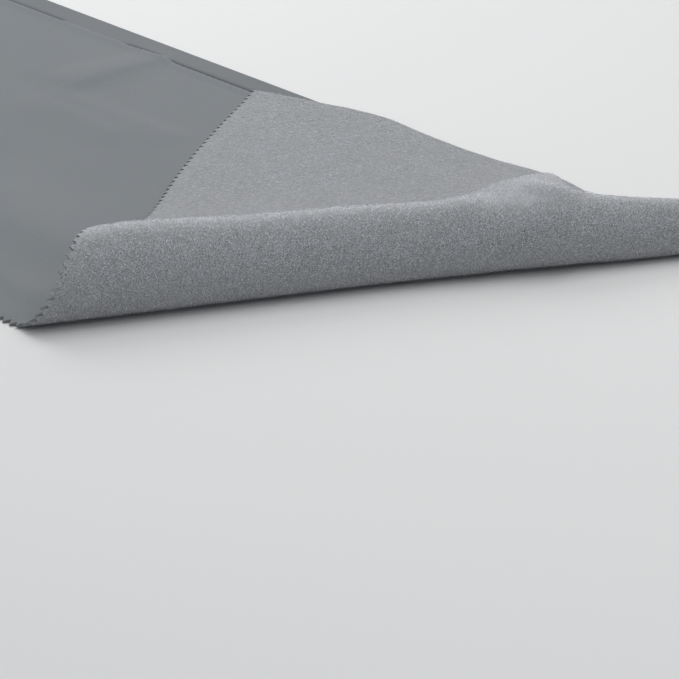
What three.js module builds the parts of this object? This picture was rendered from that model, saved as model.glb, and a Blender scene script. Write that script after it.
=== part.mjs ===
// Piano keyboard cover: one sheet of thick felted cloth with a pinked front edge.
// It lies flat, and one end is turned back over it in a fat soft roll.
// Millimetres. X runs along the cover, Y from its front edge to its back edge, Z up.
// The origin lies under the middle of the laid cover, on the surface that it rests on.
import * as THREE from 'three';

// The cloth as it is cut
const CLOTH_LENGTH = 1500;
const CLOTH_DEPTH = 307;
const THICK = 2;
const TOOTH_PITCH = 5.4;
const TOOTH_DEPTH = 2.8;
const CLOTH_COLOUR = 0x84888b;

// The pressed line that parts the back margin from the rest
const MARGIN_WIDTH = 15;
const CREASE_HALF_WIDTH = 2;
const CREASE_DEPTH = 0.7;

// The turned-back end. Flat places are measured along the cover from the point
// where the fold line meets the front edge, and across it from the front edge.
const FOLD_ANGLE = THREE.MathUtils.degToRad(61.25);
const FOLD_DROOP = THREE.MathUtils.degToRad(30.8);
const LAYER_GAP = 0.8;

// The roll, by the distance along the fold line from the front edge:
// how far past the fold line its bend starts, and how high it stands
const ROLL = [
  { line: 0, start: 0, height: 45 },
  { line: 60, start: 0, height: 43.5 },
  { line: 120, start: 0, height: 40 },
  { line: 180, start: 0, height: 38 },
  { line: 222, start: 1.5, height: 36.5 },
  { line: 245, start: 2.3, height: 41 },
  { line: 262, start: 3.2, height: 44 },
  { line: 280, start: 4.2, height: 45 },
  { line: 293, start: 5, height: 37.5 },
  { line: 304, start: 5.8, height: 32 },
  { line: 320, start: 6.8, height: 29 },
  { line: 345, start: 8, height: 25.5 },
  { line: 390, start: 9.5, height: 19.5 },
];

// Cut line of the turned-back end, from the front edge to the back edge
const END_CUT = [
  { across: 0, along: 381 },
  { across: 45, along: 369 },
  { across: 80, along: 362 },
  { across: 197, along: 289 },
  { across: 307, along: 206 },
];

// Soft low swells where the flat cloth stands a little off the surface
const SWELLS = [
  { along: -222, across: 252, length: 46, width: 26, turn: 80, height: 1.6 },
  { along: -330, across: 165, length: 120, width: 40, turn: 20, height: 1.4 },
  { along: -560, across: 120, length: 150, width: 45, turn: -15, height: 1.8 },
  { along: -850, across: 190, length: 140, width: 50, turn: 12, height: 1.6 },
];

// Fineness of the sheet's faces
const TOOTH_ROW = 4.5;
const FIRST_ROW = 16;
const FLAT_COLUMNS = 26;
const ROLL_COLUMNS = 15;
const FLAP_COLUMNS = 14;
const ROWS = 22;
const ROLL_SHARE = 0.26;
const COLUMN_GRADING = 1.5;
const CURVE_SAMPLES = 120;

const FOLD_COS = Math.cos(FOLD_ANGLE);
const FOLD_SIN = Math.sin(FOLD_ANGLE);
const LEFT_END = END_CUT[0].along - CLOTH_LENGTH;
const CREASE_LINE = CLOTH_DEPTH - MARGIN_WIDTH;

const rollRows = ROLL.map((row) => new THREE.Vector3(row.line, row.start, row.height));
const rollPoints = new THREE.CatmullRomCurve3(rollRows, false, 'catmullrom', 0.5).getPoints(CURVE_SAMPLES);
const cutRows = END_CUT.map((row) => new THREE.Vector2(row.across, row.along));
const cutPoints = new THREE.SplineCurve(cutRows).getPoints(CURVE_SAMPLES);

// Point of a sampled curve at a place along its x, held at the end points past its ends
function pointAt(points, place) {
  const next = points.findIndex((point) => point.x >= place);
  if (next < 0) return points[points.length - 1];
  if (next === 0) return points[0];
  const before = points[next - 1];
  return before.clone().lerp(points[next], (place - before.x) / (points[next].x - before.x));
}

// Section square to the fold line: a round bend that turns past flat by the droop,
// then a long reverse curve that levels out one layer above the cloth below.
function foldSection(past, height) {
  if (past <= 0) return { reach: past, rise: 0, turn: 0 };
  const radius = height / 2;
  const bendLength = radius * (Math.PI + FOLD_DROOP);
  if (past < bendLength) {
    const turn = past / radius;
    return { reach: radius * Math.sin(turn), rise: radius * (1 - Math.cos(turn)), turn };
  }
  const level = THICK + LAYER_GAP;
  const startReach = -radius * Math.sin(FOLD_DROOP);
  const startRise = radius * (1 + Math.cos(FOLD_DROOP));
  const slack = (startRise - level) / (1 - Math.cos(FOLD_DROOP));
  const turn = Math.max(Math.PI, Math.PI + FOLD_DROOP - (past - bendLength) / slack);
  const levelled = Math.max(0, past - bendLength - slack * FOLD_DROOP);
  return {
    reach: startReach - slack * (Math.sin(turn) + Math.sin(FOLD_DROOP)) - levelled,
    rise: startRise + slack * (Math.cos(turn) + Math.cos(FOLD_DROOP)),
    turn,
  };
}

// Lift of the flat cloth at a place, from the soft swells
function swellAt(along, across) {
  let lift = 0;
  for (const swell of SWELLS) {
    const angle = THREE.MathUtils.degToRad(swell.turn);
    const dx = along - swell.along;
    const dy = across - swell.across;
    const down = (dx * Math.cos(angle) + dy * Math.sin(angle)) / swell.length;
    const over = (dy * Math.cos(angle) - dx * Math.sin(angle)) / swell.width;
    const fade = Math.max(0, 1 - down * down - over * over);
    lift += swell.height * fade * fade;
  }
  return lift;
}

// Dip of the upper face at the pressed line of the back margin
function creaseDip(across) {
  const away = Math.abs(across - CREASE_LINE) / CREASE_HALF_WIDTH;
  return CREASE_DEPTH * Math.max(0, 1 - away);
}

// Place in space of a flat place of the cloth, on its upper face (side 1) or its underside (side -1)
function lay(flat, side) {
  const past = flat.x * FOLD_SIN - flat.y * FOLD_COS;
  const line = flat.x * FOLD_COS + flat.y * FOLD_SIN;
  const { y: start, z: height } = pointAt(rollPoints, line);
  const { reach, rise, turn } = foldSection(past - start, height);
  const offset = (side * THICK) / 2 - (side > 0 ? creaseDip(flat.y) : 0);
  const out = start + reach - offset * Math.sin(turn);
  const lift = past < 0 ? swellAt(flat.x, flat.y) : 0;
  return [
    line * FOLD_COS + out * FOLD_SIN,
    line * FOLD_SIN - out * FOLD_COS,
    THICK / 2 + rise + offset * Math.cos(turn) + lift,
  ];
}

// Points along the front edge, every second one a notch set back from the cut line
function pinkedEdge(curve) {
  const teeth = Math.round(curve.getLength() / TOOTH_PITCH);
  const points = [];
  for (let i = 0; i <= 2 * teeth; i += 1) {
    const place = curve.getPointAt(i / (2 * teeth));
    const tangent = curve.getTangentAt(i / (2 * teeth));
    const inward = new THREE.Vector2(-tangent.y, tangent.x);
    points.push(i % 2 ? place.addScaledVector(inward, TOOTH_DEPTH) : place);
  }
  return points;
}

// Rows across the cover: even ones up to the pressed line, its two sides, and the back edge
function rowPlaces() {
  const rows = [];
  const last = CREASE_LINE - CREASE_HALF_WIDTH;
  for (let j = 0; j <= ROWS; j += 1) rows.push(THREE.MathUtils.lerp(FIRST_ROW, last, j / ROWS));
  return [...rows, CREASE_LINE, CREASE_LINE + CREASE_HALF_WIDTH, CLOTH_DEPTH];
}

// Places along one row: coarse on the flat, fine round the roll, middling on the flap
function columnPlaces(across) {
  const fold = across * (FOLD_COS / FOLD_SIN);
  const end = pointAt(cutPoints, across).y;
  const roll = THREE.MathUtils.lerp(fold, end, ROLL_SHARE);
  const places = [];
  for (let i = 0; i < FLAT_COLUMNS; i += 1) {
    places.push(fold + (LEFT_END - fold) * (1 - i / FLAT_COLUMNS) ** COLUMN_GRADING);
  }
  for (let i = 0; i < ROLL_COLUMNS; i += 1) places.push(THREE.MathUtils.lerp(fold, roll, i / ROLL_COLUMNS));
  for (let i = 0; i <= FLAP_COLUMNS; i += 1) places.push(THREE.MathUtils.lerp(roll, end, i / FLAP_COLUMNS));
  return places;
}

// Triangles of the strip between a fine row and a coarse one, both in order along the cover
function stitch(points, fine, coarse) {
  const triangles = [];
  let i = 0;
  let j = 0;
  while (i < fine.length - 1 || j < coarse.length - 1) {
    const fineDone = i === fine.length - 1;
    const coarseDone = j === coarse.length - 1;
    if (coarseDone || (!fineDone && points[fine[i + 1]].x <= points[coarse[j + 1]].x)) {
      triangles.push([fine[i], fine[i + 1], coarse[j]]);
      i += 1;
    } else {
      triangles.push([fine[i], coarse[j + 1], coarse[j]]);
      j += 1;
    }
  }
  return triangles;
}

// The cloth laid out flat: its points, its triangles and the loop of points round its edge
function flatCloth() {
  const points = [];
  const triangles = [];
  const add = (list) => list.map((point) => points.push(point) - 1);

  const grid = rowPlaces().map((across) =>
    add(columnPlaces(across).map((along) => new THREE.Vector2(along, across))));
  for (let j = 0; j < grid.length - 1; j += 1) {
    for (let i = 0; i < grid[j].length - 1; i += 1) {
      triangles.push([grid[j][i], grid[j][i + 1], grid[j + 1][i + 1]]);
      triangles.push([grid[j][i], grid[j + 1][i + 1], grid[j + 1][i]]);
    }
  }

  const frontLeft = new THREE.Vector2(LEFT_END, 0);
  const frontRight = new THREE.Vector2(END_CUT[0].along, 0);
  const front = add(pinkedEdge(new THREE.LineCurve(frontLeft, frontRight)));
  const rowEnd = pointAt(cutPoints, TOOTH_ROW).y;
  const behind = add(front.map((k) => new THREE.Vector2(Math.min(points[k].x, rowEnd), TOOTH_ROW)));
  for (let i = 0; i < front.length - 1; i += 1) {
    triangles.push([front[i], front[i + 1], behind[i + 1]]);
    triangles.push([front[i], behind[i + 1], behind[i]]);
  }
  triangles.push(...stitch(points, behind, grid[0]));

  const right = [behind[behind.length - 1], ...grid.map((row) => row[row.length - 1])];
  const back = [...grid[grid.length - 1]].reverse();
  const left = [behind[0], ...grid.map((row) => row[0])].reverse();
  const rim = [...front, ...right, ...back.slice(1), ...left.slice(1)];
  return { points, triangles, rim };
}

// The closed sheet: upper face, underside and the cut edge between them
function sheetGeometry() {
  const { points, triangles, rim } = flatCloth();
  const upper = points.map((point) => lay(point, 1));
  const under = points.map((point) => lay(point, -1));
  const index = [];
  for (const [a, b, c] of triangles) {
    index.push(a, b, c);
    index.push(points.length + a, points.length + c, points.length + b);
  }
  rim.forEach((a, i) => {
    const b = rim[(i + 1) % rim.length];
    index.push(points.length + a, points.length + b, b);
    index.push(points.length + a, b, a);
  });
  const geometry = new THREE.BufferGeometry();
  geometry.setAttribute('position', new THREE.Float32BufferAttribute([...upper, ...under].flat(), 3));
  geometry.setIndex(index);
  geometry.computeBoundingBox();
  const middle = geometry.boundingBox.getCenter(new THREE.Vector3());
  geometry.translate(-middle.x, -middle.y, -geometry.boundingBox.min.z);
  geometry.computeVertexNormals();
  return geometry;
}

const cloth = new THREE.MeshStandardMaterial({ color: CLOTH_COLOUR, roughness: 0.95, metalness: 0 });
const sheet = new THREE.Mesh(sheetGeometry(), cloth);
sheet.name = 'cover_sheet';

const cover = new THREE.Group();
cover.name = 'piano_keyboard_cover';
cover.add(sheet);

export default cover;
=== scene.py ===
# Piano keyboard cover: one sheet of grey felted cloth, with one end turned back over it in a soft roll.
# The cloth is cut out flat, laid by the same fold as its solid, and finished with felt, fibres and light.
import math

import bpy
import numpy as np
from mathutils import Matrix, Vector
from mathutils.geometry import delaunay_2d_cdt


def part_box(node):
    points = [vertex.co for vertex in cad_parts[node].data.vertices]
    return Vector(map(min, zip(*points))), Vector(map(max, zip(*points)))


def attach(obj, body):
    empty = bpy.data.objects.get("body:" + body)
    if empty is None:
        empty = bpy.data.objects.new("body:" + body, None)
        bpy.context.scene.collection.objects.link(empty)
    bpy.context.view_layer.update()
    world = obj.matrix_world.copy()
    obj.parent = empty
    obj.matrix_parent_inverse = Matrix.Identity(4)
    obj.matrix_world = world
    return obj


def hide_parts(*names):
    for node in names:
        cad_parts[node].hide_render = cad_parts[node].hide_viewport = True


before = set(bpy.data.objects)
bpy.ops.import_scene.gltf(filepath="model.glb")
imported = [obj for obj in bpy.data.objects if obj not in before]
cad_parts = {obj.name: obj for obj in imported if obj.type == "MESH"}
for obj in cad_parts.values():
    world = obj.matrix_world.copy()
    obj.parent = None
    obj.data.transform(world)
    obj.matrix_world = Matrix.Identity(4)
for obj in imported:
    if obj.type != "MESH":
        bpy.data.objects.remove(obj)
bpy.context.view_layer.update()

MM = 0.001
SEED = 7

# The cloth as it is cut, in millimetres
CLOTH_LENGTH = 1500
CLOTH_DEPTH = 307
THICK = 2

# The pinked teeth of the front edge, with the most that a cut strays from its tooth
TOOTH_PITCH = 5.4
TOOTH_DEPTH = 3.2
TOOTH_STEPS = 4
TOOTH_WANDER = 0.35

# Thinning towards the cut edges: shares of the full thickness, and the width over which it sets in
EDGE_THIN = 0.15
ROLL_EDGE_THIN = 0.5
EDGE_THIN_WIDTH = 6

# Place across the cloth past which the turned-back end's cut is thinned too, and the run up to it
END_THIN_FROM = 212
END_THIN_RUN = 20

# The pressed line that parts the back margin from the rest
MARGIN_WIDTH = 15
# MARGIN_SHADE is painted shade on the back margin beyond the pressed line
MARGIN_SHADE = 0.14
CREASE_DEPTH = 1.3
CREASE_WIDTH = 0.9
CREASE_LIP = 0.8
CREASE_LIP_WIDTH = 2.2
CREASE_LINE = CLOTH_DEPTH - MARGIN_WIDTH
CREASE_ROWS = (-6, -4, -2.6, -1.6, -0.9, -0.4, 0, 0.4, 0.9, 1.6, 2.6, 4.5)

# Where the pressed line stays open, with its dip and its painted shade, by distance along the cover
CREASE_OPEN = [
    {"left": -940, "right": -700, "depth": 0.8},
    {"left": -610, "right": -450, "depth": 0.9},
    {"left": -360, "right": -299, "depth": 0.8},
    {"left": -251, "right": -217, "depth": 1.0},
    {"left": -213, "right": -60, "depth": 1.0},
]

# How far open it is elsewhere, and the run over which an open stretch closes
CREASE_REST = 0.12
CREASE_FADE = 5

# The turned-back end: angle of its fold line, droop of the cloth behind the roll, gap between the layers
# Flat places lie along the cover from where the fold line meets the front edge, and across it from there
FOLD_ANGLE = math.radians(61.25)
FOLD_DROOP = math.radians(30.8)
LAYER_GAP = 0.15
FOLD_COS = math.cos(FOLD_ANGLE)
FOLD_SIN = math.sin(FOLD_ANGLE)

# The roll, by the distance along the fold line: start of its bend, and height
ROLL = [
    {"line": 0, "start": 0, "height": 45},
    {"line": 60, "start": 0, "height": 43.5},
    {"line": 120, "start": 0, "height": 40},
    {"line": 180, "start": 0, "height": 38},
    {"line": 222, "start": 1.5, "height": 36.5},
    {"line": 245, "start": 2.3, "height": 41},
    {"line": 262, "start": 3.2, "height": 44},
    {"line": 280, "start": 4.2, "height": 45},
    {"line": 293, "start": 5, "height": 37.5},
    {"line": 304, "start": 5.8, "height": 32},
    {"line": 320, "start": 6.8, "height": 29},
    {"line": 345, "start": 8, "height": 25.5},
    {"line": 390, "start": 9.5, "height": 19.5},
]

# Cut line of the turned-back end, from the front edge to the back edge
END_CUT = [
    {"across": 0, "along": 381},
    {"across": 45, "along": 368.3},
    {"across": 66, "along": 365.2},
    {"across": 82, "along": 362.5},
    {"across": 105, "along": 349.2},
    {"across": 135, "along": 332.2},
    {"across": 160, "along": 313.5},
    {"across": 185, "along": 295.7},
    {"across": 198, "along": 287.3},
    {"across": 213, "along": 274.3},
    {"across": 230, "along": 262.5},
    {"across": 307, "along": 206},
]
RIGHT_END = END_CUT[0]["along"]
LEFT_END = RIGHT_END - CLOTH_LENGTH

# Slow bows of the front edge out of its straight line: their middles, how far each way they go, and how deep
FRONT_BOWS = [
    {"along": 60, "reach": 50, "out": 1.3},
    {"along": 252, "reach": 70, "out": 4.4},
    {"along": 385, "reach": 45, "out": -3.8},
]

# Soft low swells where the flat cloth stands a little off the surface
SWELLS = [
    {"along": -222, "across": 252, "length": 46, "width": 26, "turn": 80, "height": 1.6},
    {"along": -330, "across": 165, "length": 120, "width": 40, "turn": 20, "height": 1.4},
    {"along": -560, "across": 120, "length": 150, "width": 45, "turn": -15, "height": 1.8},
    {"along": -850, "across": 190, "length": 140, "width": 50, "turn": 12, "height": 1.6},
]

# Soft ridges from one flat place to another: widths of their left and right sides, fade past the ends, height
# A height stands towards the upper face, and a negative one out of the underside
RIDGES = [
    {"from": (-216, 287), "to": (-219, 231), "sides": (5.5, 24), "fade": 9, "height": 1.7},
    {"from": (-212, 215), "to": (-130, 216), "sides": (10, 22), "fade": 12, "height": 1.5},
    {"from": (-202, 200), "to": (-152, 197), "sides": (7, 16), "fade": 10, "height": 0.9},
    {"from": (-125, 86), "to": (-50, 82), "sides": (30, 18), "fade": 35, "height": 2.0},
    {"from": (-60, 34), "to": (-22, 30), "sides": (12, 9), "fade": 15, "height": 1.3},
    {"from": (178, 188), "to": (196, 217), "sides": (38, 13.5), "fade": 12, "height": 6.0},
    {"from": (196, 178), "to": (214, 208), "sides": (8, 18), "fade": 10, "height": -1.2},
    {"from": (194, 199), "to": (197.5, 222), "sides": (5, 3.5), "fade": 6, "height": -2.2},
    {"from": (202, 206), "to": (202.5, 218), "sides": (3.5, 6), "fade": 6, "height": 1.2},
    {"from": (66, 8), "to": (145, 173), "sides": (26, 12), "fade": 25, "height": 2.0},
    {"from": (80, -6), "to": (84, 6), "sides": (14, 14), "fade": 12, "height": 1.6},
]

# Spacing of the mesh, by the distance past the fold line: fine round the fold and on the flap
SPACING = [
    {"step": 6.5, "from": -5000, "to": -345},
    {"step": 3.0, "from": -345, "to": -14},
    {"step": 2.5, "from": -14, "to": 5000},
]
BACK_STEP = 5.0
PLAIN_STEP = 2.0
CURVE_SAMPLES = 400

# How far the inner points keep clear: of the cut as a share of their step, more at the slanted end
STEP_CLEAR = 0.6
END_CLEAR = 1.2
CREASE_CLEAR = 1.0
MERGE_WITHIN = 1e-6
SHARP_ANGLE = math.radians(50)

# The loose fibres of the fuzzy side, by the share of the bend that lies before them
# Lift is in degrees off the cloth, stray in degrees off its depth, and spread is how far their greys differ
FUZZ = [
    {"name": "roll_fuzz", "from": 0.1, "to": 1.0, "count": 95000, "lift": (15, 75), "spread": 1.0,
     "length": (0.4, 0.85), "stray": 180},
    {"name": "flap_fuzz", "from": 1.0, "to": 20.0, "count": 95000, "lift": (2, 18), "spread": 0.25,
     "length": (0.7, 1.7), "stray": 20},
]
FIBRE_WIDTH = (0.14, 0.3)
FIBRE_CURL = 0.3
FIBRE_BELLY = 0.45
FIBRE_SHADE = 0.5

# The stray fibres of the cut edges, with how far they lean along the cut and off the cloth
EDGE_FIBRES = 7000
EDGE_FIBRE_LENGTH = (0.4, 1.2)
EDGE_FIBRE_WIDTH = (0.08, 0.16)
EDGE_LEAN_ALONG = 0.8
EDGE_LEAN_OFF = 0.5
PLAIN_EDGE_WITHIN = 1

# Shorter fibres on the teeth: their least share of the full length, and the run up to all of it
TOOTH_FIBRE_SHARE = 0.35
TOOTH_FIBRE_RUN = 9

# The painted highlight along the top of the roll: its middle and spread as shares of the bend, and its
# strength on the felt and on the fibres
CREST_AT = 0.92
CREST_SPREAD = 0.12
CREST_HIGHLIGHT = 0.72
CREST_FIBRE_HIGHLIGHT = 0.4

# The flap's brushed nap, in streaks across the cloth: where it sets in by the bend, and how strong it is
BRUSHED_FROM = 0.8
BRUSHED_TO = 1.1
BRUSHED = 0.75
NAP_STRETCH = 5

# The shelf on the roll's hump, where the painted highlight reaches further down its front
SHELF_LINE = 266
SHELF_REACH = 24
SHELF_SPREAD = 0.13
SHELF_HIGHLIGHT = 0.25

# Values that all the materials share
SPECULAR = 0.25
SHEEN_TINT = (1.0, 0.92, 0.94)
RAMP_FROM = 0.3
RAMP_TO = 0.7

# The floor: half its side, and how far it lies under the cloth, in metres
FLOOR_HALF = 8
FLOOR_DROP = 0.0002

# The soft lights, in metres and watts, with the places that they are turned to
ROLL_AIM = (0.55, 0, 0)
LEFT_AIM = (0.15, 0.1, 0.0)
LIGHTS = [
    {"name": "key_light", "place": (0.95, 0.6, 2.0), "aim": ROLL_AIM, "size": (1.7, 1.3), "power": 16.8,
     "colour": (1.0, 0.98, 0.965)},
    {"name": "back_light", "place": (-0.6, 3.2, 1.1), "aim": ROLL_AIM, "size": (4.0, 1.6), "power": 19,
     "colour": (1, 1, 1)},
    {"name": "left_light", "place": (-0.25, 0.15, 0.7), "aim": LEFT_AIM, "size": (0.8, 0.8), "power": 3.3,
     "colour": (1, 1, 1)},
    {"name": "fill_light", "place": (1.8, -1.2, 2.6), "aim": ROLL_AIM, "size": (1.8, 1.8), "power": 13.5,
     "colour": (0.95, 0.98, 1.0)},
]
WORLD_COLOUR = (0.94, 0.97, 1.0)
WORLD_STRENGTH = 0.28

# The camera, as it stood to the cloth: its aim in flat places, its angles in degrees, and its lens
AIM_ALONG = 131.3
AIM_ACROSS = 101.2
CAMERA_AZIMUTH = -42.458
CAMERA_ELEVATION = 23.951
CAMERA_ROLL = -1.159
CAMERA_DISTANCE = 2.5167
CAMERA_LENS = 275.0
CAMERA_SEES = 50
SENSOR = 36.0

rng = np.random.default_rng(SEED)
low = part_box("cover_sheet")[0]
shift = np.array([low.x / MM - LEFT_END, low.y / MM, 0])


def smooth_curve(rows):
    """Points of a smooth curve through the rows of a table, in the order of its columns."""
    points = np.array([list(row.values()) for row in rows], float)
    points = np.vstack([2 * points[0] - points[1], points, 2 * points[-1] - points[-2]])
    places = np.linspace(0, len(points) - 3, CURVE_SAMPLES)
    first = np.minimum(places.astype(int), len(points) - 4)
    t = (places - first)[:, None]
    p0, p1, p2, p3 = (points[first + k] for k in range(4))
    bend = 2 * p0 - 5 * p1 + 4 * p2 - p3
    twist = -p0 + 3 * p1 - 3 * p2 + p3
    return p1 + 0.5 * t * ((p2 - p0) + t * (bend + t * twist))


roll_curve = smooth_curve(ROLL)
cut_curve = smooth_curve(END_CUT)


def fold_places(along, across):
    """Distances past the fold line and along it, of flat places."""
    past = along * FOLD_SIN - across * FOLD_COS
    line = along * FOLD_COS + across * FOLD_SIN
    return past, line


def roll_at(line):
    """Start of the roll's bend and height of the roll, at distances along the fold line."""
    start = np.interp(line, roll_curve[:, 0], roll_curve[:, 1])
    height = np.interp(line, roll_curve[:, 0], roll_curve[:, 2])
    return start, height


def cut_at(across):
    """Where the turned-back end is cut, along the cover."""
    return np.interp(across, cut_curve[:, 0], cut_curve[:, 1])


def front_edge(along):
    """Where the front edge lies across the cloth, with its slow bows."""
    return -sum(bow["out"] * np.exp(-(((along - bow["along"]) / bow["reach"]) ** 2)) for bow in FRONT_BOWS)


def fold_section(past, height):
    """Reach, rise and turn of the cloth's middle, square to the fold line."""
    radius = height / 2
    bend_length = radius * (math.pi + FOLD_DROOP)
    level = THICK + LAYER_GAP
    start_reach = -radius * math.sin(FOLD_DROOP)
    start_rise = radius * (1 + math.cos(FOLD_DROOP))
    slack = (start_rise - level) / (1 - math.cos(FOLD_DROOP))
    bend = np.clip(past / radius, 0, math.pi + FOLD_DROOP)
    turn_back = np.maximum(math.pi, math.pi + FOLD_DROOP - (past - bend_length) / slack)
    levelled = np.maximum(0, past - bend_length - slack * FOLD_DROOP)
    flap_reach = start_reach - slack * (np.sin(turn_back) + math.sin(FOLD_DROOP)) - levelled
    flap_rise = start_rise + slack * (np.cos(turn_back) + math.cos(FOLD_DROOP))
    on_flap = past > bend_length
    reach = np.where(past <= 0, past, np.where(on_flap, flap_reach, radius * np.sin(bend)))
    rise = np.where(past <= 0, 0, np.where(on_flap, flap_rise, radius * (1 - np.cos(bend))))
    turn = np.where(past <= 0, 0, np.where(on_flap, turn_back, bend))
    return reach, rise, turn


def bend_share(along, across):
    """Share of the roll's bend that lies before a flat place: 0 at its start, 1 where the flap begins."""
    past, line = fold_places(along, across)
    start, height = roll_at(line)
    return (past - start) / (height / 2 * (math.pi + FOLD_DROOP))


def crest_highlight(along, across):
    """Painted highlight on top of the roll, strongest at its crest and reaching further down the hump's
    shelf.
    """
    line = fold_places(along, across)[1]
    below = CREST_AT - bend_share(along, across)
    shelf = np.exp(-(((line - SHELF_LINE) / SHELF_REACH) ** 2))
    spread = CREST_SPREAD + np.where(below > 0, SHELF_SPREAD * shelf, 0)
    return (CREST_HIGHLIGHT + SHELF_HIGHLIGHT * shelf) * np.exp(-((below / spread) ** 2))


def swell_lift(along, across):
    """Lift of the flat cloth, from the soft swells."""
    lift = np.zeros_like(along)
    for swell in SWELLS:
        angle = math.radians(swell["turn"])
        dx = along - swell["along"]
        dy = across - swell["across"]
        down = (dx * math.cos(angle) + dy * math.sin(angle)) / swell["length"]
        over = (dy * math.cos(angle) - dx * math.sin(angle)) / swell["width"]
        lift += swell["height"] * np.maximum(0, 1 - down**2 - over**2) ** 2
    return lift


def ridge_lift(along, across):
    """Rise of the cloth towards its upper face, from the soft ridges."""
    lift = np.zeros_like(along)
    for ridge in RIDGES:
        run = np.subtract(ridge["to"], ridge["from"])
        length = np.hypot(*run)
        dx = along - ridge["from"][0]
        dy = across - ridge["from"][1]
        down = (dx * run[0] + dy * run[1]) / length
        over = (dy * run[0] - dx * run[1]) / length
        width = np.where(over > 0, *ridge["sides"])
        past_end = np.maximum(np.maximum(-down, down - length), 0)
        lift += ridge["height"] * np.exp(-((over / width) ** 2) - (past_end / ridge["fade"]) ** 2)
    return lift


def crease_open(along):
    """How far open the pressed line is at a place along the cover, from 0 to 1."""
    share = np.full_like(along, CREASE_REST)
    for part in CREASE_OPEN:
        from_left = np.clip((along - part["left"]) / CREASE_FADE, 0, 1)
        from_right = np.clip((part["right"] - along) / CREASE_FADE, 0, 1)
        share = np.maximum(share, part["depth"] * (from_left * from_right))
    return share


def crease_shape(along, across):
    """Dip of the upper face at the pressed line, with the soft lip on its near side."""
    away = across - CREASE_LINE
    dip = CREASE_DEPTH * crease_open(along) * np.exp(-((away / CREASE_WIDTH) ** 2))
    lip = CREASE_LIP * np.exp(-(((away + CREASE_LIP_WIDTH) / CREASE_LIP_WIDTH) ** 2))
    return dip - lip


def edge_share(along, across):
    """Share of the full thickness, less towards the front edge and the far part of the turned-back end."""
    kept_full = np.clip((END_THIN_FROM - across) / END_THIN_RUN, 0, 1)
    from_end = np.maximum(FOLD_SIN * (cut_at(across) - along) / EDGE_THIN_WIDTH, kept_full)
    from_front = (across - front_edge(along)) / EDGE_THIN_WIDTH
    inside_by = np.clip(np.minimum(from_front, from_end), 0, 1)
    bend = bend_share(along, across)
    thin = EDGE_THIN + (ROLL_EDGE_THIN - EDGE_THIN) * np.clip(4 * bend * (1 - bend), 0, 1)
    return thin + (1 - thin) * np.sqrt(1 - (1 - inside_by) ** 2)


def lay(flat, side):
    """Places in space, in metres, of flat places on the upper face (side 1) or underside (side -1)."""
    along, across = flat[:, 0], flat[:, 1]
    past, line = fold_places(along, across)
    start, height = roll_at(line)
    reach, rise, turn = fold_section(past - start, height)
    share = edge_share(along, across)
    sunk = (1 - share) * np.cos(turn)
    offset = (side * share - sunk) * THICK / 2 + ridge_lift(along, across)
    if side > 0:
        offset = offset - crease_shape(along, across)
    out = start + reach - offset * np.sin(turn)
    up = THICK / 2 + rise + offset * np.cos(turn) + np.where(past < 0, swell_lift(along, across), 0)
    placed = np.column_stack([line * FOLD_COS + out * FOLD_SIN, line * FOLD_SIN - out * FOLD_COS, up])
    return (placed + shift) * MM


def spaced(points, pitch, steps=1):
    """Evenly spaced points on a line, with a number of steps to each pitch."""
    lengths = np.hypot(*np.diff(points, axis=0).T)
    travel = np.concatenate([[0], np.cumsum(lengths)])
    places = np.linspace(0, travel[-1], round(travel[-1] / pitch) * steps + 1)
    return np.column_stack([np.interp(places, travel, points[:, k]) for k in range(2)])


def pinked(points):
    """A cut line as points, with its teeth cut in and a little unevenness."""
    line = spaced(points, TOOTH_PITCH, TOOTH_STEPS)
    tangent = unit(np.gradient(line, axis=0))
    inward = np.column_stack([-tangent[:, 1], tangent[:, 0]])
    phase = np.arange(len(line)) % TOOTH_STEPS / TOOTH_STEPS
    depth = TOOTH_DEPTH * (1 - np.abs(2 * phase - 1))
    depth += rng.uniform(0, TOOTH_WANDER, len(line))
    depth[[0, -1]] = 0
    return line + inward * depth[:, None]


def hex_points(step, left, right):
    """A triangular pattern of points over the cloth, between two distances past the fold line."""
    rows = np.arange(-step, CLOTH_DEPTH, step * math.sqrt(0.75))
    found = []
    for count, across in enumerate(rows):
        along = np.arange(LEFT_END, RIGHT_END, step) + (count % 2) * step / 2
        found.append(np.column_stack([along, np.full_like(along, across)]))
    points = np.vstack(found)
    past = fold_places(points[:, 0], points[:, 1])[0]
    return points[(past >= left) & (past < right)]


def inside(points, margin):
    """Which points lie well inside the cut, clear of the teeth."""
    along, across = points[:, 0], points[:, 1]
    kept = (across > front_edge(along) + TOOTH_DEPTH + margin) & (across < CLOTH_DEPTH - margin)
    return kept & (along > LEFT_END + margin) & (along < cut_at(across) - margin * END_CLEAR)


def cut_loop():
    """The points round the cut of the cloth: left end, front edge, turned-back end and back edge."""
    left = spaced(np.array([(LEFT_END, CLOTH_DEPTH), (LEFT_END, front_edge(LEFT_END))]), PLAIN_STEP)
    front_along = np.linspace(LEFT_END, cut_at(front_edge(RIGHT_END)), CURVE_SAMPLES)
    front = pinked(np.column_stack([front_along, front_edge(front_along)]))
    cut_line = cut_curve[cut_curve[:, 0] > front[-1, 1], ::-1]
    end = spaced(np.vstack([front[-1], cut_line]), PLAIN_STEP)
    back_count = round((end[-1, 0] - LEFT_END) / BACK_STEP)
    back_along = np.linspace(end[-1, 0], LEFT_END, back_count + 1)
    back = np.column_stack([back_along, np.full_like(back_along, CLOTH_DEPTH)])
    return np.vstack([left[:-1], front[:-1], end[:-1], back[:-1]])


def crease_points():
    """Close rows of points along the pressed line."""
    along = np.arange(LEFT_END + BACK_STEP, RIGHT_END, BACK_STEP)
    rows = []
    for count, row in enumerate(CREASE_ROWS):
        across = np.full_like(along, CREASE_LINE + row)
        rows.append(np.column_stack([along + (count % 2) * BACK_STEP / 2, across]))
    points = np.vstack(rows)
    return points[inside(points, CREASE_CLEAR)]


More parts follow.
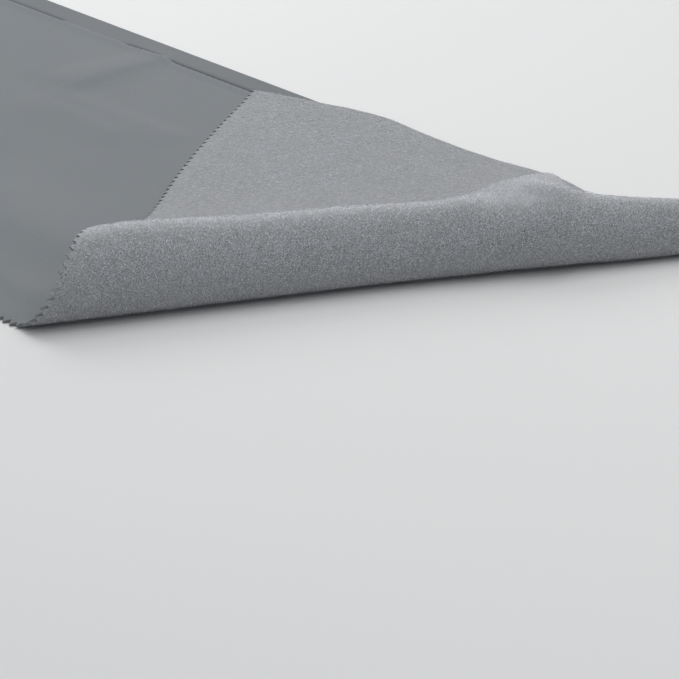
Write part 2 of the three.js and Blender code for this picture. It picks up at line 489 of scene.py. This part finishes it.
def flat_cloth():
    """The cloth laid out flat: its points, its triangles and the loop of points round its edge."""
    rim = cut_loop()
    grids = []
    for part in SPACING:
        clear = STEP_CLEAR * part["step"]
        grid = hex_points(part["step"], part["from"], part["to"])
        near_crease = np.abs(grid[:, 1] - CREASE_LINE) < clear - CREASE_ROWS[0]
        grids.append(grid[inside(grid, clear) & ~near_crease])
    points = np.vstack([rim, crease_points(), *grids])
    loop = [(k, (k + 1) % len(rim)) for k in range(len(rim))]
    made = delaunay_2d_cdt([Vector(p) for p in points], loop, [], 1, MERGE_WITHIN)
    placed, triangles, sources = made[0], made[2], made[3]
    place = {source: k for k, found in enumerate(sources) for source in found}
    edge = np.array([place[k] for k in range(len(rim))])
    return np.array([tuple(p) for p in placed]), np.array(triangles), edge


def mesh_object(name, points, faces, materials):
    """A new object in the scene, from points and faces, with its materials."""
    mesh = bpy.data.meshes.new(name)
    mesh.from_pydata([tuple(p) for p in points], [], [tuple(int(k) for k in f) for f in faces])
    for material in materials:
        mesh.materials.append(material)
    made = bpy.data.objects.new(name, mesh)
    bpy.context.scene.collection.objects.link(made)
    return made


def carry(made, name, values, kind="FLOAT", column="value"):
    """Gives a mesh values at its points, which its materials read by name."""
    attribute = made.data.attributes.new(name, kind, "POINT")
    attribute.data.foreach_set(column, values.astype(np.float32).ravel())


class Look:
    """A material, with its even values on the shader's own sockets and nodes for what differs over it."""

    def __init__(self, name, colour, roughness, sheen, sheen_roughness):
        self.material = bpy.data.materials.new(name)
        self.material.use_nodes = True
        self.nodes = self.material.node_tree.nodes
        self.links = self.material.node_tree.links
        self.sockets = self.nodes["Principled BSDF"].inputs
        self.sockets["Base Color"].default_value = (*colour, 1)
        self.sockets["Roughness"].default_value = roughness
        self.sockets["Specular IOR Level"].default_value = SPECULAR
        self.sockets["Sheen Weight"].default_value = sheen
        self.sockets["Sheen Roughness"].default_value = sheen_roughness
        self.sockets["Sheen Tint"].default_value = (*SHEEN_TINT, 1)

    def places(self):
        """The object's own places, in metres."""
        return self.nodes.new("ShaderNodeTexCoord").outputs["Object"]

    def carried(self, name, kind="Fac"):
        """A value or a vector that the mesh carries at its points."""
        node = self.nodes.new("ShaderNodeAttribute")
        node.attribute_name = name
        return node.outputs[kind]

    def noise(self, places, scale, detail, roughness):
        """A noise texture over places in metres."""
        node = self.nodes.new("ShaderNodeTexNoise")
        node.inputs["Scale"].default_value = scale
        node.inputs["Detail"].default_value = detail
        node.inputs["Roughness"].default_value = roughness
        self.links.new(places, node.inputs["Vector"])
        return node.outputs["Fac"]

    def ramp(self, value, dark, light):
        """Two colours spread over the middle of a value's range."""
        node = self.nodes.new("ShaderNodeValToRGB")
        first, last = node.color_ramp.elements
        first.position, last.position = RAMP_FROM, RAMP_TO
        first.color, last.color = (*dark, 1), (*light, 1)
        self.links.new(value, node.inputs["Fac"])
        return node.outputs["Color"]

    def blend(self, mode, share, first, second):
        """A linked colour mixed with an even or a linked one, by an even share or by a linked one."""
        node = self.nodes.new("ShaderNodeMix")
        node.data_type = "RGBA"
        node.blend_type = mode
        if isinstance(share, float):
            node.inputs["Factor"].default_value = share
        else:
            self.links.new(share, node.inputs["Factor"])
        self.links.new(first, node.inputs[6])
        if isinstance(second, tuple):
            node.inputs[7].default_value = (*second, 1)
        else:
            self.links.new(second, node.inputs[7])
        return node.outputs[2]

    def bump(self, value, distance, strength, under=None):
        """Fine relief from a value, on top of an earlier one."""
        node = self.nodes.new("ShaderNodeBump")
        node.inputs["Distance"].default_value = distance
        node.inputs["Strength"].default_value = strength
        self.links.new(value, node.inputs["Height"])
        if under is not None:
            self.links.new(under, node.inputs["Normal"])
        return node.outputs["Normal"]

    def finish(self, colour, relief=None):
        """The material, with its colour and relief linked to the shader."""
        self.links.new(colour, self.sockets["Base Color"])
        if relief is not None:
            self.links.new(relief, self.sockets["Normal"])
        return self.material


def smooth_face():
    """The upper face: a close suede with a very even grey and faint cloudiness."""
    look = Look("smooth_face", (0.215, 0.232, 0.244), roughness=0.85, sheen=0.25, sheen_roughness=0.45)
    places = look.places()
    clouds = look.noise(places, scale=9, detail=2, roughness=0.5)
    colour = look.ramp(clouds, dark=(0.195, 0.214, 0.226), light=(0.211, 0.23, 0.242))
    nap = look.noise(places, scale=900, detail=3, roughness=0.6)
    grain = look.ramp(nap, dark=(0.94, 0.94, 0.94), light=(1.05, 1.05, 1.05))
    colour = look.blend("MULTIPLY", 1.0, colour, grain)
    # Painted shade in the open pressed line and on the back margin
    colour = look.blend("MIX", look.carried("painted_shade_and_highlight"), colour, (0.05, 0.055, 0.06))
    return look.finish(colour, look.bump(nap, distance=0.00012, strength=0.5))


def fuzzy_face():
    """The underside: felt with a fine speckle, in streaks where it is brushed, with a painted highlight along
    the top of the roll.
    """
    look = Look("fuzzy_face", (0.31, 0.334, 0.352), roughness=0.92, sheen=0.2, sheen_roughness=0.6)
    places = look.places()
    clumps = look.noise(places, scale=2100, detail=2, roughness=0.6)
    colour = look.ramp(clumps, dark=(0.07, 0.073, 0.077), light=(0.605, 0.627, 0.656))
    brushed = look.noise(look.carried("nap", "Vector"), scale=1100, detail=2, roughness=0.5)
    streaks = look.ramp(brushed, dark=(0.25, 0.26, 0.272), light=(0.425, 0.44, 0.46))
    colour = look.blend("MIX", look.carried("brushed"), colour, streaks)
    uneven = look.noise(places, scale=70, detail=3, roughness=0.6)
    patches = look.ramp(uneven, dark=(0.95, 0.95, 0.95), light=(1.04, 1.04, 1.04))
    colour = look.blend("MULTIPLY", 1.0, colour, patches)
    # Painted highlight along the top of the roll
    colour = look.blend("MIX", look.carried("painted_shade_and_highlight"), colour, (0.56, 0.57, 0.59))
    lumps = look.bump(look.noise(places, scale=420, detail=2, roughness=0.5), distance=0.0009, strength=0.5)
    return look.finish(colour, look.bump(clumps, distance=0.0004, strength=0.6, under=lumps))


def fibre_face():
    """The loose fibres: paler than the felt under them, each of its own grey, with a painted highlight along
    the top of the roll.
    """
    look = Look("fibre_face", (0.5, 0.532, 0.558), roughness=0.9, sheen=0.0, sheen_roughness=0.5)
    colour = look.ramp(look.carried("shade"), dark=(0.31, 0.324, 0.338), light=(0.885, 0.911, 0.95))
    return look.finish(colour)


def cut_face():
    """The cut edge: cropped fibre ends in a fine speckle, darker than either face, partly from those ends and
    partly painted shade of the cut edge.
    """
    look = Look("cut_face", (0.18, 0.189, 0.197), roughness=0.95, sheen=0.3, sheen_roughness=0.5)
    ends = look.noise(look.places(), scale=1500, detail=2, roughness=0.6)
    colour = look.ramp(ends, dark=(0.12, 0.126, 0.131), light=(0.24, 0.252, 0.263))
    return look.finish(colour, look.bump(ends, distance=0.0003, strength=0.5))


def floor_face():
    """The plain pale floor."""
    return Look("floor_face", (0.84, 0.84, 0.84), roughness=0.9, sheen=0.0, sheen_roughness=0.5).material


def make_sheet(points, triangles, edge, materials):
    """The closed sheet: upper face, underside and the cut edge between them."""
    along, across = points[:, 0], points[:, 1]
    upper = lay(points, 1)
    under = lay(points, -1)
    count = len(points)
    after = np.roll(edge, -1)
    walls = np.vstack([
        np.column_stack([count + edge, count + after, after]),
        np.column_stack([count + edge, after, edge]),
    ])
    faces = np.vstack([triangles, count + triangles[:, ::-1], walls])
    made = mesh_object("cover_cloth", np.vstack([upper, under]), faces, materials)
    slots = np.repeat(np.arange(3, dtype=np.int32), (len(triangles), len(triangles), len(walls)))
    made.data.polygons.foreach_set("material_index", slots)

    # Painted shade in the open pressed line and on the back margin for the upper face, and the painted
    # highlight on top of the roll for the underside
    away = (across - CREASE_LINE) / CREASE_WIDTH
    dark = crease_open(along) * np.exp(-(away**2))
    dark[across > CREASE_LINE] += MARGIN_SHADE
    dark[fold_places(along, across)[0] > 0] = 0
    carry(made, "painted_shade_and_highlight", np.concatenate([dark, crest_highlight(along, across)]))
    flap_share = (bend_share(along, across) - BRUSHED_FROM) / (BRUSHED_TO - BRUSHED_FROM)
    carry(made, "brushed", np.tile(BRUSHED * np.clip(flap_share, 0, 1), 2))
    streaks = np.column_stack([along, across / NAP_STRETCH, np.zeros(count)]) * MM
    carry(made, "nap", np.tile(streaks, (2, 1)), "FLOAT_VECTOR", "vector")
    made.data.shade_smooth()
    made.data.set_sharp_from_angle(angle=SHARP_ANGLE)
    return made, upper, under


def fibre_mesh(name, roots, along, across, up, lengths, widths, shades, material):
    """Thin curled blades from their roots, two triangles each, joined in one mesh, lit as the cloth is."""
    reach = along * lengths[:, None]
    half = across * widths[:, None] / 2
    curl = up * (lengths * rng.uniform(0, FIBRE_CURL, len(roots)))[:, None]
    belly = roots + FIBRE_BELLY * reach + curl
    points = np.stack([roots, belly - half, belly + half, roots + reach], axis=1).reshape(-1, 3)
    points[:, 2] = np.maximum(points[:, 2], low.z)
    first = np.arange(len(roots))[:, None] * 4
    faces = np.vstack([first + [0, 1, 2], first + [1, 3, 2]])
    made = mesh_object(name, points, faces, [material])
    carry(made, "shade", np.repeat(shades, 4))
    made.data.shade_smooth()
    made.data.normals_split_custom_set_from_vertices(np.repeat(up, 4, axis=0))
    return made


def unit(vectors):
    """The vectors at length one."""
    return vectors / np.linalg.norm(vectors, axis=1)[:, None]


def doubled_area(first, second):
    """Twice the areas of flat triangles, with their signs, from two sides of each."""
    return first[:, 0] * second[:, 1] - first[:, 1] * second[:, 0]


def two_sides(corners):
    """The sides of triangles that leave their first corners."""
    return corners[:, 1] - corners[:, 0], corners[:, 2] - corners[:, 0]


def across_axis(flat, laid):
    """Which way the cloth's depth runs in space, on triangles given flat and as laid."""
    first, second = two_sides(flat)
    laid_first, laid_second = two_sides(laid)
    doubled = doubled_area(first, second)
    a, b = -second[:, 0] / doubled, first[:, 0] / doubled
    return a[:, None] * laid_first + b[:, None] * laid_second


def fibre_share(along, across):
    """How long the fibres are beside their full length: short on the teeth, so that the cut stays crisp."""
    return np.clip((across - front_edge(along)) / TOOTH_FIBRE_RUN, TOOTH_FIBRE_SHARE, 1)


def make_fuzz(part, points, triangles, under, material):
    """Short loose fibres over a part of the underside that shows, by its row of the table."""
    count = part["count"]
    corners = under[triangles[:, ::-1]]
    square = np.cross(*two_sides(corners))
    area = np.linalg.norm(square, axis=1)
    flat = points[triangles].mean(axis=1)
    share = bend_share(flat[:, 0], flat[:, 1])
    area[(share < part["from"]) | (share >= part["to"])] = 0
    chosen = rng.choice(len(triangles), count, p=area / area.sum())
    a, b = rng.random((2, count))
    over = a + b > 1
    a[over], b[over] = 1 - a[over], 1 - b[over]
    corner = corners[chosen]
    first, second = two_sides(corner)
    roots = corner[:, 0] + a[:, None] * first + b[:, None] * second
    normal = unit(square[chosen])
    nap = unit(across_axis(points[triangles[chosen, ::-1]], corner))
    turn = np.radians(rng.normal(0, part["stray"], count))[:, None]
    lean = rng.choice([-1, 1], count)[:, None] * (np.cos(turn) * nap + np.sin(turn) * np.cross(normal, nap))
    lift = np.radians(rng.uniform(*part["lift"], count))[:, None]
    along = np.cos(lift) * lean + np.sin(lift) * normal
    lengths = rng.uniform(*part["length"], count) * MM * fibre_share(*flat[chosen].T)
    widths = rng.uniform(*FIBRE_WIDTH, count) * MM
    shades = FIBRE_SHADE + part["spread"] * (rng.random(count) - FIBRE_SHADE)
    # Painted highlight on the fibres along the top of the roll
    shades += CREST_FIBRE_HIGHLIGHT * crest_highlight(flat[chosen, 0], flat[chosen, 1])
    sideways = np.cross(normal, lean)
    return fibre_mesh(part["name"], roots, along, sideways, normal, lengths, widths, shades, material)


def make_edge_fuzz(points, edge, upper, under, material):
    """Short stray fibres out of the cut edges of the front and the turned-back end."""
    after = np.roll(edge, -1)
    middle = (upper + under) / 2
    run = middle[after] - middle[edge]
    length = np.linalg.norm(run, axis=1)
    on_back = points[edge, 1] >= CLOTH_DEPTH - PLAIN_EDGE_WITHIN
    on_left = points[edge, 0] <= LEFT_END + PLAIN_EDGE_WITHIN
    length[on_back | on_left] = 0
    chosen = rng.choice(len(edge), EDGE_FIBRES, p=length / length.sum())
    start, stop = edge[chosen], after[chosen]
    share = rng.random(EDGE_FIBRES)[:, None]
    depth = rng.random(EDGE_FIBRES)[:, None]
    top = upper[start] + share * (upper[stop] - upper[start])
    bottom = under[start] + share * (under[stop] - under[start])
    roots = top + depth * (bottom - top)
    up = unit(top - bottom)
    tangent = unit(run[chosen])
    outward = np.cross(tangent, up)
    lean_along = tangent * rng.normal(0, EDGE_LEAN_ALONG, (EDGE_FIBRES, 1))
    lean_off = up * rng.normal(0, EDGE_LEAN_OFF, (EDGE_FIBRES, 1))
    along = unit(outward + lean_along + lean_off)
    lengths = rng.uniform(*EDGE_FIBRE_LENGTH, EDGE_FIBRES) * MM * fibre_share(*points[start].T)
    widths = rng.uniform(*EDGE_FIBRE_WIDTH, EDGE_FIBRES) * MM
    sideways = unit(np.cross(up, along))
    shades = rng.random(EDGE_FIBRES)
    return fibre_mesh("edge_fuzz", roots, along, sideways, up, lengths, widths, shades, material)


def make_floor():
    """The level floor under the cloth."""
    corners = [(x * FLOOR_HALF, y * FLOOR_HALF, 0) for x, y in ((-1, -1), (1, -1), (1, 1), (-1, 1))]
    made = mesh_object("floor", corners, [(0, 1, 2, 3)], [floor_face()])
    made.location.z = low.z - FLOOR_DROP
    return made


def add_light(row):
    """A soft light at its place, turned to its aim, by its row of the table."""
    data = bpy.data.lights.new(row["name"], "AREA")
    data.shape = "RECTANGLE"
    data.size, data.size_y = row["size"]
    data.energy = row["power"]
    data.color = row["colour"]
    light = bpy.data.objects.new(row["name"], data)
    light.location = row["place"]
    light.rotation_euler = (Vector(row["aim"]) - Vector(row["place"])).to_track_quat("-Z", "Y").to_euler()
    bpy.context.scene.collection.objects.link(light)


def add_world():
    """Even light from all sides."""
    world = bpy.data.worlds.new("studio")
    world.use_nodes = True
    background = world.node_tree.nodes["Background"].inputs
    background["Color"].default_value = (*WORLD_COLOUR, 1)
    background["Strength"].default_value = WORLD_STRENGTH
    bpy.context.scene.world = world


def add_camera():
    """The camera at the photograph's angle, level but for a small roll."""
    azimuth, elevation = math.radians(CAMERA_AZIMUTH), math.radians(CAMERA_ELEVATION)
    back = Vector((
        math.cos(azimuth) * math.cos(elevation),
        math.sin(azimuth) * math.cos(elevation),
        math.sin(elevation),
    ))
    level = Vector((0, 0, 1)).cross(back).normalized()
    up = back.cross(level)
    roll = math.radians(CAMERA_ROLL)
    right = level * math.cos(roll) + up * math.sin(roll)
    axes = Matrix((right, back.cross(right), back)).transposed()
    data = bpy.data.cameras.new("camera")
    data.lens = CAMERA_LENS
    data.sensor_width = SENSOR
    data.clip_end = CAMERA_SEES
    camera = bpy.data.objects.new("camera", data)
    aim = (Vector((AIM_ALONG, AIM_ACROSS, THICK / 2)) + Vector(shift)) * MM
    camera.matrix_world = Matrix.Translation(aim + back * CAMERA_DISTANCE) @ axes.to_4x4()
    bpy.context.scene.collection.objects.link(camera)
    bpy.context.scene.camera = camera


fibre = fibre_face()
points, triangles, edge = flat_cloth()
sheet, upper, under = make_sheet(points, triangles, edge, [smooth_face(), fuzzy_face(), cut_face()])
fuzz = [make_edge_fuzz(points, edge, upper, under, fibre)]
for part in FUZZ:
    fuzz.append(make_fuzz(part, points, triangles, under, fibre))

for piece in (sheet, *fuzz):
    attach(piece, "root")
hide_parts("cover_sheet")

floor = make_floor()
for row in LIGHTS:
    add_light(row)
add_world()
add_camera()
bpy.context.scene.view_settings.view_transform = "Standard"
